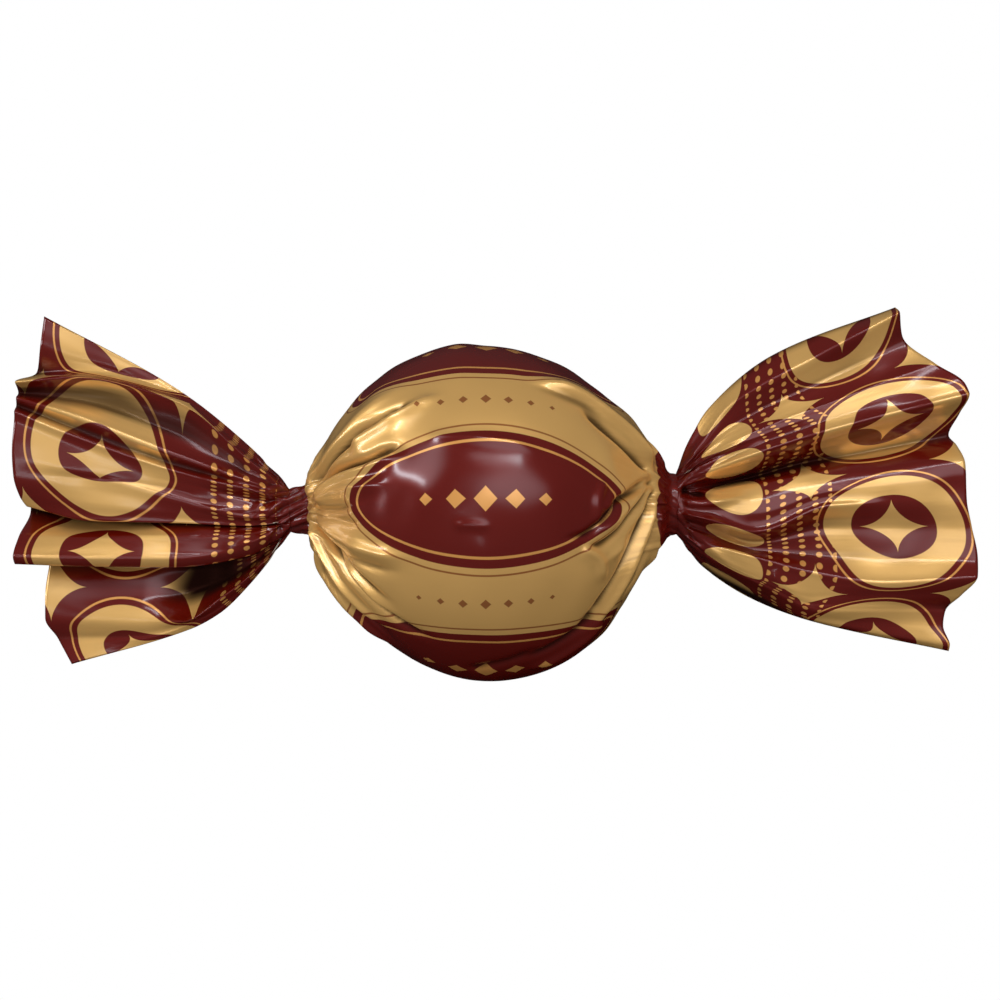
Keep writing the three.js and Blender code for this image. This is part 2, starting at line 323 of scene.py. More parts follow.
def printed_film():
    material, shader = film_material("printed_film", roughness=0.34)
    start = Wire(material.node_tree)
    apart = start.node("ShaderNodeSeparateXYZ", None, {0: start.node("ShaderNodeUVMap", {"uv_map": "sheet"})})
    u = (apart - 0.5) * SHEET
    v = (apart.other(1) - 0.5) * SHEET
    far = abs(u)

    # the ball: a column of ovals with a fine orange line inside, a rust line outside and orange lozenges
    # in the middle, and a row of small rust lozenges between them
    oval_row = nearest(v, OVAL_ROW, FIRST_OVAL)
    between = nearest(v, OVAL_ROW, FIRST_OVAL + OVAL_ROW / 2)
    ovals = oval(u, oval_row, half_u=16.4, half_v=7.4)
    ink = inside(ovals)
    large = lozenges(u, oval_row, pitch=3.2, size=1.35, taper=0.1, last=8)
    small = lozenges(u, between, pitch=2.4, size=0.6, taper=0.04, last=9)
    ball_bright = line(ovals, away=-1.15, width=0.3).most(large)
    ball_color = ink.choose(GOLD, BURGUNDY)
    ball_color = line(ovals, away=0.8, width=0.22).most(small).choose(ball_color, RUST)
    ball_color = ball_bright.choose(ball_color, ORANGE)
    ball_metal = (1 - ink).most(ball_bright)

    # the tails: rings and stars on a burgundy ground, pin dots nearer the neck, and a row of gold petals
    # beside the right neck
    on_right = inside(u * -1)
    from_rings = far - (on_right * (RIGHT_RINGS - LEFT_RINGS) + LEFT_RINGS)
    from_pins = far - (on_right * (RIGHT_PINS - LEFT_PINS) + LEFT_PINS)
    ring_row = nearest(v, RING_ROW, RING_ROW / 2)
    rings = oval(from_rings, ring_row, half_u=6.5, half_v=6.3)
    tail_gold = line(rings, away=0, width=3.2)
    tail_gold = tail_gold.most(star(from_rings, ring_row, half_u=4.0, half_v=4.0))
    beside_rings = abs(from_rings) - STARS_BESIDE
    tail_gold = tail_gold.most(star(beside_rings, nearest(v, RING_ROW), half_u=4.6, half_v=3.9))
    petals = oval(u - PETALS, nearest(v, RING_ROW / 2), half_u=3.4, half_v=3.5)
    tail_gold = tail_gold.most(inside(petals))
    pins = oval(nearest(far, PIN_PITCH[0]), nearest(v, PIN_PITCH[1]), PIN_RADIUS, PIN_RADIUS)
    pins = inside(pins) * inside(abs(from_pins) - PIN_BAND)
    pins = pins.most(line(rings, away=2.35, width=0.24)) * (1 - tail_gold)
    tail_color = tail_gold.choose(BURGUNDY, GOLD)
    tail_color = pins.choose(tail_color, ORANGE)

    on_tail = 1 - inside((u * -1 - LEFT_GROUND).most(u - RIGHT_GROUND))
    color = on_tail.choose(ball_color, tail_color)
    # painted shade: in the folds the colour is painted dark and the clear gloss is taken away
    painted_shade = start.node("ShaderNodeAttribute", {"attribute_name": "painted_shade"}, output="Fac")
    painted_shade.choose(color, FOLD_SHADE_COLOR).feed(shader, "Base Color")
    (1 - painted_shade).feed(shader, "Coat Weight")
    gold = ball_metal * (1 - on_tail) + tail_gold.most(pins) * on_tail
    (gold * (GOLD_METAL - INK_METAL) + INK_METAL).feed(shader, "Metallic")

    # a faint crinkle all over, and fine pulls, six times as long as wide, which run into the necks
    place = start.node("ShaderNodeTexCoord", output="Object")
    crinkle = start.node("ShaderNodeTexNoise", None, {"Vector": place, "Scale": 260.0, "Distortion": 0.6})
    stretched = start.node("ShaderNodeCombineXYZ", None, {0: u * 0.1, 1: v * 0.6})
    pulls = start.node("ShaderNodeTexNoise", None, {"Vector": stretched, "Scale": 1.0, "Detail": 2.0})
    pulls = pulls * far.fade(PULLS_BEGIN, PULLS_FULL) * (1 - far.fade(PULLS_WANE, PULLS_FAINT, 0.7))
    relief = {"Height": crinkle * CRINKLE + pulls, "Distance": RELIEF * MM}
    start.node("ShaderNodeBump", None, relief).feed(shader, "Normal")
    return material


film_print = printed_film()

# --- Film over the ball -------------------------------------------------------------------------------
# One square sheet of printed film is rolled round the truffle and twisted shut at both sides. The part
# over the ball hugs it in the middle and stands off it in pleats that run out of the two necks.
SHOULDER_X = 12.5  # where the film leaves the ball
# Each neck: its side, its place, the radius of the bunched film there, how far the film runs straight on
# from the ball towards it, how long its pinch is, how high its lobes stand, and their seed.
NECKS = {
    "left": dict(side=-1, x=19.5, y=0.2, radius=2.6, reach=5.6, length=2.0, lobes=0.5, seed=11),
    "right": dict(side=1, x=19.9, y=1.0, radius=3.6, reach=3.64, length=0.9, lobes=0.18, seed=12),
}
TWIST = 0.25  # turn of the bunched film in a neck, in radians for each millimetre
LOBES = 13  # of the bunched film round a neck
LOBE_LEVEL = 0.7  # part of a lobe's height that lies inside the plain outline
WAIST = 0.93  # of a neck's radius, in its pinch
TAIL_ROOT = 0.9  # of a neck's radius, where the tail begins
INTO_TAIL = 0.3  # how far the ball's film reaches into a tail


def mix(a, b, t):
    return a + (b - a) * t


def smooth(low, high, value):
    """From 0 to 1 between two values, level at both."""
    t = np.clip((value - low) / (high - low), 0, 1)
    return t * t * (3 - 2 * t)


def through(knots, values, places):
    """Smooth curve through values at knots that never swings past them, at the places asked for."""
    knots = np.asarray(knots, float)
    values = np.asarray(values, float)
    shape = (-1,) + (1,) * (values.ndim - 1)
    steps = np.diff(knots).reshape(shape)
    slopes = np.diff(values, axis=0) / steps
    before, after = slopes[:-1], slopes[1:]
    same_way = before * after > 0
    inner = np.where(same_way, 2 * before * after / np.where(same_way, before + after, 1), 0)
    tangents = np.concatenate([slopes[:1], inner, slopes[-1:]])
    i = np.clip(np.searchsorted(knots, places, side="right") - 1, 0, len(knots) - 2)
    t = ((places - knots[i]) / np.diff(knots)[i]).reshape(shape)
    h = steps[i]
    return (
        (1 + 2 * t) * (1 - t) ** 2 * values[i]
        + t * (1 - t) ** 2 * h * tangents[i]
        + t * t * (3 - 2 * t) * values[i + 1]
        + t * t * (t - 1) * h * tangents[i + 1]
    )


def flat_film(name, along, around):
    """A flat grid of film: the mesh, the shares of its columns and rows, and every vertex's place there."""
    bm = bmesh.new()
    bmesh.ops.create_grid(bm, x_segments=along, y_segments=around, size=0.5)
    bm.loops.layers.uv.new("sheet")
    mesh = bpy.data.meshes.new(name)
    bm.to_mesh(mesh)
    bm.free()
    flat = np.empty(len(mesh.vertices) * 3)
    mesh.vertices.foreach_get("co", flat)
    flat = flat.reshape(-1, 3)
    columns, column = np.unique((flat[:, 0] + 0.5).round(6), return_inverse=True)
    rows, row = np.unique((flat[:, 1] + 0.5).round(6), return_inverse=True)
    return mesh, columns[:, None], rows[None], (column, row)


FOLD_ROUNDS = 20  # of softening, which a fold is measured against
LEAST_FOLD = 0.02  # depth of a fold at which painted shade begins
MOST_PAINTED_SHADE = 0.85  # how dark the painted shade of the deepest folds is, 1 being its full colour


def soften(height, rounds):
    """A grid's heights after each has moved towards its neighbours, so many times over."""
    for _ in range(rounds):
        height = (np.roll(height, 1, 1) + 2 * height + np.roll(height, -1, 1)) / 4
        wide = np.pad(height, ((1, 1), (0, 0)), mode="edge")
        height = (wide[:-2] + 2 * height + wide[2:]) / 4
    return height


def painted_fold_shade(height, deepest):
    """Painted shade for a grid's folds, by how far each place lies under the softened film around it."""
    return MOST_PAINTED_SHADE * smooth(LEAST_FOLD, deepest, soften(height, FOLD_ROUNDS) - height)


def shape_film(mesh, spots, places, sheet_u, sheet_v, painted_shade):
    """Moves a flat grid's vertices to their places in millimetres, and writes the print's places and the
    painted shade of its folds.
    """
    mesh.vertices.foreach_set("co", (places[spots] * MM).ravel())
    corners = np.empty(len(mesh.loops), dtype=np.int32)
    mesh.loops.foreach_get("vertex_index", corners)
    sheet = np.stack(np.broadcast_arrays(sheet_u, sheet_v), axis=2)[spots] / SHEET + 0.5
    mesh.uv_layers["sheet"].data.foreach_set("uv", sheet[corners].ravel())
    layer = mesh.attributes.new("painted_shade", "FLOAT", "POINT")
    layer.data.foreach_set("value", np.ascontiguousarray(painted_shade[spots], dtype=np.float32))
    mesh.update()


def way_along(points):
    """How far along a line of points each of them lies from the first."""
    return np.concatenate([[0], np.cumsum(np.linalg.norm(np.diff(points, axis=0), axis=1))])


def shoulder(neck):
    """Plain outline from the ball's middle to a neck: the way along the film, and x and radius there."""
    touch = np.array([SHOULDER_X, math.sqrt(BALL_RADIUS**2 - SHOULDER_X**2)])
    tangent = np.array([touch[1], -touch[0]]) / BALL_RADIUS
    bend = touch + tangent * neck["reach"]
    end = np.array([neck["x"], neck["radius"]])
    turn = np.linspace(0, math.asin(SHOULDER_X / BALL_RADIUS), 60)
    arc = BALL_RADIUS * np.stack([np.sin(turn), np.cos(turn)], axis=1)
    t = np.linspace(0, 1, 60)[1:, None]
    slope = (1 - t) ** 2 * touch + 2 * t * (1 - t) * bend + t * t * end
    waist = np.array([
        [neck["x"] + neck["length"] * 0.35, neck["radius"] * WAIST],
        [neck["x"] + neck["length"] * 0.7, neck["radius"] * WAIST],
        [neck["x"] + neck["length"] + INTO_TAIL, neck["radius"] * TAIL_ROOT],
    ])
    outline = np.concatenate([arc, slope, waist])
    return way_along(outline), outline


def aside(neck, far):
    """How far the film's middle line moves sideways on its way to a neck."""
    return neck["y"] * smooth(BALL_RADIUS * 0.6, neck["x"], far)


def bunch(neck, angle, x):
    """How far the bunched film of a neck stands off a plain round: uneven lobes and tight valleys."""
    dice = np.random.default_rng(neck["seed"])
    wide = dice.uniform(0.5, 1.5, LOBES)
    tall = dice.uniform(0.5, 1.2, LOBES + 1)
    edges = np.concatenate([[0], np.cumsum(wide)])
    angle = angle + TWIST * (np.abs(x) - neck["x"])
    turns = np.interp(angle / (2 * math.pi) % 1, edges / edges[-1], np.arange(LOBES + 1))
    lobes = np.abs(np.sin(np.pi * turns)) * tall[turns.astype(int)]
    return neck["lobes"] * (lobes - LOBE_LEVEL)


def ripples(places, shortest, longest, seed):
    """Gentle uneven waves between about -1 and 1, as thin film takes when it is handled."""
    dice = np.random.default_rng(seed)
    waves = 14
    total = np.zeros(places.shape[:-1])
    for _ in range(waves):
        way = dice.normal(size=3)
        way *= 2 * math.pi / dice.uniform(shortest, longest) / np.linalg.norm(way)
        total += np.sin(places @ way + dice.uniform(0, 2 * math.pi))
    return total / math.sqrt(waves)


BALL_ALONG, BALL_AROUND = 256, 384
FRONT_GATHER = 0.5  # the grid's rows lie closer together on the shown side
SIDE_GATHER = 0.2  # and its columns towards both necks
OUTLINE_STEP = 0.4  # to each side, over which the outline's way is taken
ball_mesh, share, ring, ball_spots = flat_film("film_over_ball", BALL_ALONG, BALL_AROUND)
ways = {side: shoulder(neck) for side, neck in NECKS.items()}
share = share - SIDE_GATHER * np.sin(2 * math.pi * share) / math.pi
sheet_u = mix(-ways["left"][0][-1], ways["right"][0][-1], share)
turn = (0.5 - ring) * 2 * math.pi
angle = turn - FRONT_GATHER * np.sin(turn)
sheet_v = angle * BALL_RADIUS


def on_outline(side, far):
    """The x and the radius of the plain outline, so far along the film from the ball's middle."""
    way, outline = ways[side]
    return np.stack([np.interp(far, way, outline[:, k]) for k in (0, 1)], axis=1)


# The plain outline: where each column of the grid lies and which way it faces, as x and radius.
base_x = np.zeros_like(share)
base_r = np.zeros_like(share)
normal_x = np.zeros_like(share)
normal_r = np.ones_like(share)
centre_y = np.zeros_like(share)
for side, neck in NECKS.items():
    mine = neck["side"] * sheet_u > 0
    far = np.abs(sheet_u[mine])
    here = on_outline(side, far)
    behind = on_outline(side, np.abs(far - OUTLINE_STEP))
    behind[far < OUTLINE_STEP, 0] *= -1
    run = on_outline(side, far + OUTLINE_STEP) - behind
    run /= np.linalg.norm(run, axis=1, keepdims=True)
    base_x[mine] = neck["side"] * here[:, 0]
    base_r[mine] = here[:, 1]
    normal_x[mine] = -neck["side"] * run[:, 1]
    normal_r[mine] = run[:, 0]
    centre_y[mine] = aside(neck, here[:, 0])


def ball_places(height):
    """Where the film lies when it stands so far off its plain outline."""
    x = base_x + normal_x * height
    r = base_r + normal_r * height
    return np.stack([x, centre_y + r * np.sin(angle), CENTRE_HEIGHT + r * np.cos(angle)], axis=2)


height = np.zeros((share.size, ring.size))
plain = ball_places(height)

# How far the film stands off the plain outline along the ball's upper (1) and lower (-1) side, as x and
# offset, and how far round the ball that is felt, in radians.
SIDES = {
    1: [
        (-20, 0), (-18.5, 0.35), (-14, 0.55), (-9, 0.45), (-3.5, 0.5),
        (0, 0), (8, -0.27), (13, -0.22), (16, 0.25), (19, 0),
    ],
    -1: [
        (-20, 0), (-16.5, -0.15), (-11, -0.6), (-7, -0.38),
        (0, 0.1), (9, 0.12), (16, -0.2), (18.5, -0.6), (20, 0),
    ],
}
SIDE_SPREAD = 0.55
SEAM_ANGLE = 2.5  # where the sheet's long edge lies, in radians from the printed face over the top
SEAM_RISE = 0.4  # angle over which the film rises to that edge
SEAM_STEP = 0.3  # height of the step there
SEAM_LOST = (14, 19)  # from the ball's middle, where the step is lost among the pleats of the necks
CREASE_ROUNDING = 0.12  # how far the line of a crease is rounded off

# Creases of the shown face: the way each runs, as x and y seen from above, then its height (below zero
# for a valley), and its half width to the upper and to the lower side.
BALL_CREASES = [
    # out of the left neck, from the top round to the bottom
    ([(-20.2, 1.4), (-17.0, 5.4), (-14.3, 8.8), (-12.0, 10.9), (-9.4, 12.7), (-7.1, 14.0)], 0.85, 2.4, 1.4),
    ([(-19.2, 2.6), (-16.4, 5.8), (-13.6, 8.4), (-11.2, 9.8), (-9.2, 11.1), (-7.1, 12.2)], -1.1, 0.45, 0.5),
    ([(-14.6, 6.9), (-12.5, 8.4), (-10.7, 9.5), (-8.6, 10.5), (-6.3, 11.8), (-4.0, 12.6)], 0.8, 0.6, 1.1),
    ([(-19.2, 1.6), (-17.2, 4.0), (-15.4, 4.9), (-13.0, 5.6), (-11.2, 6.5), (-8.1, 7.3)], -1.1, 0.5, 0.45),
    ([(-18.8, 1.4), (-15.4, 4.0), (-13.0, 4.8), (-10.2, 5.7), (-8.0, 6.2)], 0.7, 0.4, 0.9),
    ([(-18.5, 0.9), (-16.0, 2.3), (-12.8, 2.9), (-9.6, 3.2)], 0.5, 0.8, 1.2),
    ([(-19.0, 0.4), (-16.2, 0.4), (-14.0, 0.9)], -0.5, 0.4, 0.4),
    ([(-19.0, 0.0), (-16.0, -0.6), (-13.0, -1.3)], -0.35, 0.6, 0.6),
    ([(-18.8, -0.5), (-15.5, -2.8), (-11.0, -4.3), (-7.0, -4.7)], 0.4, 0.7, 0.9),
    ([(-18.9, -0.8), (-15.5, -4.3), (-11.3, -5.8), (-8.0, -6.2)], -0.4, 0.7, 0.8),
    ([(-19.3, -0.4), (-16.9, -4.0), (-14.4, -6.6), (-11.4, -9.4), (-8.4, -11.6)], 0.6, 0.5, 0.35),
    ([(-19.5, -0.2), (-16.4, -4.4), (-13.8, -7.5), (-11.2, -10.1), (-8, -12.3), (-5, -13.5)], -1.3, 0.4, 0.4),
    ([(-19.3, -0.9), (-16.9, -5.2), (-15.0, -7.9), (-12.6, -10.6), (-10.0, -12.7)], 0.9, 0.35, 0.5),
    ([(-19.4, -0.2), (-17.0, -3.2), (-14.6, -5.6), (-11.9, -8.0), (-9.4, -9.8)], -0.5, 0.35, 0.35),
    ([(-19.2, -1.6), (-17.4, -5.0), (-15.2, -8.3), (-12.6, -11.3)], -0.5, 0.3, 0.3),
    ([(-19.0, -2.2), (-17.4, -5.6), (-15.0, -9.2), (-12.4, -12.0), (-9.6, -14.3)], -0.8, 0.4, 0.4),
    ([(-19.0, -3.2), (-17.6, -6.4), (-15.4, -9.6), (-12.9, -12.4), (-9.8, -15.0)], 0.8, 0.4, 0.8),
    # out of the right neck
    ([
        (18.2, 4.8), (16.9, 6.1), (14.9, 8.4), (13.1, 10), (10.1, 12.1), (6.5, 13.6), (3.6, 14.3),
    ], 1.3, 2.6, 0.5),
    ([(17.8, 4.2), (15.6, 6.5), (12.9, 9.0), (9.8, 11.3)], -0.8, 0.4, 0.5),
    ([(17.8, 4.6), (15.4, 2.7), (13.0, 0.9), (11.0, 0.1)], 0.4, 1.0, 0.4),
    ([(17.5, 4.0), (13.8, 1.2), (12.3, -0.6), (10.4, -2.2), (7.6, -2.8)], -0.7, 0.35, 0.35),
    ([(17.9, 3.4), (15.2, 1.0), (13.0, -1.2), (11.4, -2.4)], 0.6, 0.4, 0.8),
    ([(18.0, 3.2), (15.9, 0.7), (13.8, -2.1), (11.9, -3.3), (9.5, -3.6)], -0.75, 0.35, 0.4),
    ([(18.1, 3.0), (16.2, -0.6), (14.0, -3.8), (11.4, -5.6)], 0.5, 0.7, 0.9),
    ([(18.2, 2.8), (16.5, -1.6), (14.9, -5.0), (13.4, -7.6), (11.8, -10.0), (9.4, -12.2)], -0.8, 0.55, 0.5),
    ([(18.4, 2.4), (17.0, -2.0), (15.4, -5.6), (13.8, -8.6), (12.0, -11.1), (9.4, -13.6)], 0.8, 0.5, 0.7),
    ([(18.5, 1.6), (17.9, -2.6), (16.4, -6.6), (14.4, -9.6)], -0.7, 0.4, 0.5),
    ([(18.6, 0.7), (18.4, -3.2), (17.2, -6.8)], 0.6, 0.5, 0.5),
    ([(18.2, 3.6), (16.2, 2.4), (14.4, 1.6), (12.6, 1.2)], -0.6, 0.32, 0.32),
    ([(18.3, 2.9), (17.0, 0.4), (15.6, -1.9), (14.2, -3.6)], -0.65, 0.38, 0.38),
    ([(18.5, 2.0), (18.0, -1.4), (16.9, -4.8), (15.6, -7.2)], -0.5, 0.42, 0.42),
    ([(12.4, 3.6), (11.6, 0.8), (12.0, -1.8)], 0.4, 0.5, 0.6),
    ([(10.2, -3.4), (12.0, -5.0), (12.4, -7.4)], 0.5, 0.6, 0.7),
    ([(12.8, -10.8), (10.7, -13.0), (7.8, -15.2), (4.0, -17.0)], 0.7, 0.7, 0.9),
    ([(11.8, -10.4), (9.7, -12.4), (6.8, -14.4), (3.4, -15.9)], -0.6, 0.6, 0.6),
    # short dents in the middle
    ([(-6.2, 8.1), (-2.0, 8.0), (2.6, 7.5), (6.2, 6.3)], 0.3, 0.6, 0.8),
    ([(-3.2, -1.2), (-1.6, -1.1), (0.6, -1.5)], 0.25, 0.4, 0.5),
    ([(-2.0, -16.8), (2.4, -15.8), (6.0, -14.2)], -0.5, 0.7, 0.7),
]


def on_ball(x, y):
    """The heights at which places seen from above lie on the plain outline."""
    z = np.zeros(len(x))
    for side, neck in NECKS.items():
        mine = x * neck["side"] >= 0
        far = np.abs(x[mine])
        outline = ways[side][1]
        off = y[mine] - aside(neck, far)
        z[mine] = np.sqrt((np.interp(far, outline[:, 0], outline[:, 1]) ** 2 - off**2).clip(0))
    return CENTRE_HEIGHT + z


def ridge(distance, width, steep=1.3, peak=1.3):
    """Height beside the line of a crease or pleat, 1 on it: a sharp top with hollow sides."""
    return np.exp(-steep * np.abs(distance / width) ** peak)


def crease(places, path, lift, height, upper, lower, fade=(0.12, 0.3)):
    """Height of one crease at each place: sharp at its line, and fading out at its two ends."""
    path = np.asarray(path, float)
    way = way_along(path)
    seen = through(way, path, np.linspace(0, way[-1], 100))
    samples = np.column_stack([seen, lift(*seen.T)])
    margin = 3 * max(upper, lower)
    beside = np.all((places > samples.min(0) - margin) & (places < samples.max(0) + margin), axis=1)
    spots = places[beside]
    near = np.full(len(spots), np.inf)
    at = np.zeros(len(spots))
    above = np.zeros(len(spots))
    outward = (spots - (0, 0, CENTRE_HEIGHT)) * np.sign(path[-1, 0] - path[0, 0])
    for i in range(len(samples) - 1):
        run = samples[i + 1] - samples[i]
        t = np.clip((spots - samples[i]) @ run / (run @ run), 0, 1)
        gap = spots - (samples[i] + t[:, None] * run)
        distance = np.linalg.norm(gap, axis=1)
        closer = distance < near
        near[closer] = distance[closer]
        at[closer] = (i + t[closer]) / (len(samples) - 1)
        above[closer] = np.sum(gap[closer] * np.cross(outward[closer], run), axis=1)
    width = np.where(above > 0, upper, lower)
    profile = ridge(np.hypot(near, CREASE_ROUNDING) - CREASE_ROUNDING, width)
    raised = np.zeros(len(places))
    raised[beside] = height * profile * smooth(0, fade[0], at) * (1 - smooth(1 - fade[1], 1, at))
    return raised


front = np.broadcast_to(np.cos(angle) > -0.05, height.shape)  # the shown side, and a little past its edge
for path, tall, upper, lower in BALL_CREASES:
    height[front] += crease(plain[front], path, on_ball, tall, upper, lower)

# The film stands off the ball or is drawn in a little along the upper and the lower side.
for way_round, stations in SIDES.items():
    knots, offsets = zip(*stations)
    beside = np.exp(-(((angle * way_round - math.pi / 2) / SIDE_SPREAD) ** 2))
    height += through(knots, offsets, base_x[:, 0].clip(knots[0], knots[-1]))[:, None] * beside

# The bunched film of the necks fans out over the ball in pleats: short ones on the shown side, between
# the measured creases, and long ones on the back. The necks' lobes run out over it in the same way.
PLEATS = 34  # out of each neck
SHOWN_PLEATS = dict(long=(2.5, 7.0), tall=(0.15, 0.4), wide=(0.3, 0.5))
HIDDEN_PLEATS = dict(long=(5, 17), tall=(0.2, 0.45), wide=(0.45, 0.9))
PLEAT_WIDENS = 12  # from a neck, where a pleat has become twice as wide
SHOWN_LOBES, HIDDEN_LOBES = 3.5, 11.0  # how far they run
LOBE_SWELL = 0.8  # of the hidden ones, by the time they are fully out of the neck
dice = np.random.default_rng(7)
for side, neck in NECKS.items():
    mine = neck["side"] * sheet_u > 0
    to_neck = np.interp(neck["x"], ways[side][1][:, 0], ways[side][0]) - np.abs(sheet_u)
    shown_side = smooth(-0.5, 0.0, np.cos(angle))
    reach = mix(HIDDEN_LOBES, SHOWN_LOBES, shown_side)
    fan = (1 + LOBE_SWELL * (1 - shown_side) * smooth(0, 3, to_neck)) * (1 - smooth(0.1, 1, to_neck / reach))
    height += mine * bunch(neck, angle, base_x) * fan
    for k in range(PLEATS):
        middle = 2 * math.pi * (k + dice.uniform(-0.35, 0.35)) / PLEATS
        pleat = SHOWN_PLEATS if math.cos(middle) > -0.1 else HIDDEN_PLEATS
        long, tall, wide = [dice.uniform(*pleat[key]) for key in ("long", "tall", "wide")]
        lean = middle + neck["side"] * dice.uniform(0.01, 0.03) * to_neck
        beside = np.arctan2(np.sin(angle - lean), np.cos(angle - lean)) * base_r
        width = np.where(beside > 0, wide, wide * 0.5) * (1 + smooth(0, PLEAT_WIDENS, to_neck))
        run = (1 - smooth(long * 0.4, long, to_neck)) * smooth(0, 1.5, to_neck)
        height += mine * tall * ridge(beside, width) * run

# The sheet's long edge lies over its other edge in a straight step on the underside.
step = smooth(SEAM_ANGLE - SEAM_RISE, SEAM_ANGLE, angle) * (angle < SEAM_ANGLE)
height += SEAM_STEP * step * (1 - smooth(*SEAM_LOST, np.abs(base_x)))

# Gentle waves lie all over it, stronger towards the necks, and the underside is flat where it rests.
MIDDLE_WAVES, NECK_WAVES = 0.03, 0.09  # their heights
wave_height = mix(MIDDLE_WAVES, NECK_WAVES, smooth(4, 13, np.abs(base_x)))
height += wave_height * ripples(plain, shortest=3.5, longest=8, seed=4)
height = soften(height, 1)
places = ball_places(height)
places[..., 2] = np.maximum(places[..., 2], 0)
# the folds over the ball get painted shade
shape_film(ball_mesh, ball_spots, places, sheet_u, sheet_v, painted_fold_shade(height, deepest=0.3))


def close_tube(mesh, caps):
    """Joins the two long edges of a rolled grid, and with caps draws both ends shut to a point."""
    bm = bmesh.new()
    bm.from_mesh(mesh)
    rim = [v for v in bm.verts if v.is_boundary]
    bmesh.ops.remove_doubles(bm, verts=rim, dist=1e-7)
    if caps:
        for side in (-1, 1):
            ring = [v for v in bm.verts if v.is_boundary and v.co.x * side > 0]
            middle = sum((v.co for v in ring), Vector()) / len(ring)
            bmesh.ops.pointmerge(bm, verts=ring, merge_co=middle)
    bmesh.ops.recalc_face_normals(bm, faces=bm.faces)
    for face in bm.faces:
        face.smooth = True
    bm.to_mesh(mesh)
    bm.free()


def place_film(mesh, name):
    """Makes a finished mesh of printed film one of the pieces that stand for the wrapped sweet."""
    mesh.materials.append(film_print)
    piece = bpy.data.objects.new(name, mesh)
    bpy.context.scene.collection.objects.link(piece)
    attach(piece, "root")
    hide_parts("wrapped_truffle")
    return piece


close_tube(ball_mesh, caps=True)
place_film(ball_mesh, "film_over_ball")

# --- Tails --------------------------------------------------------------------------------------------
# Past each neck the rolled film opens into a flattened, ruffled tail of two layers, cut straight at its
# end. Ribs are the lines that its folds follow from the neck to the cut end.
FILM = 0.06  # thickness of the film, about twice the real one
BARE_INNER = (0.62, 0.56, 0.45)  # the film's unprinted side
TAIL_ALONG, TAIL_AROUND = 112, 400
NECK_GATHER = 1.25  # power that brings the grid's columns closer together near the neck
LOWER_WIDTH, UPPER_WIDTH = 0.8, 0.4  # half widths of a rib's crease towards the tail's two edges
RIPPLE = 0.07  # height of the gentle waves
# Of the hidden layer: how far its middle falls back behind the cut end, how far to both sides it keeps
# clear of the shown layer, its least gap to that, its sag at the neck and at the end, and the share of
# the width over which it meets the shown layer at both edges.
FALL_BACK = 0.7
CLEAR_BESIDE = 0.45
LEAST_GAP = 0.15
NECK_SAG, END_SAG = 0.3, 1.8
JOINED = 0.008
DEEP_FROM, DEEP_TO = 1.3, 2.4  # how far below the neck's middle the shown layer is painted in ever darker shade
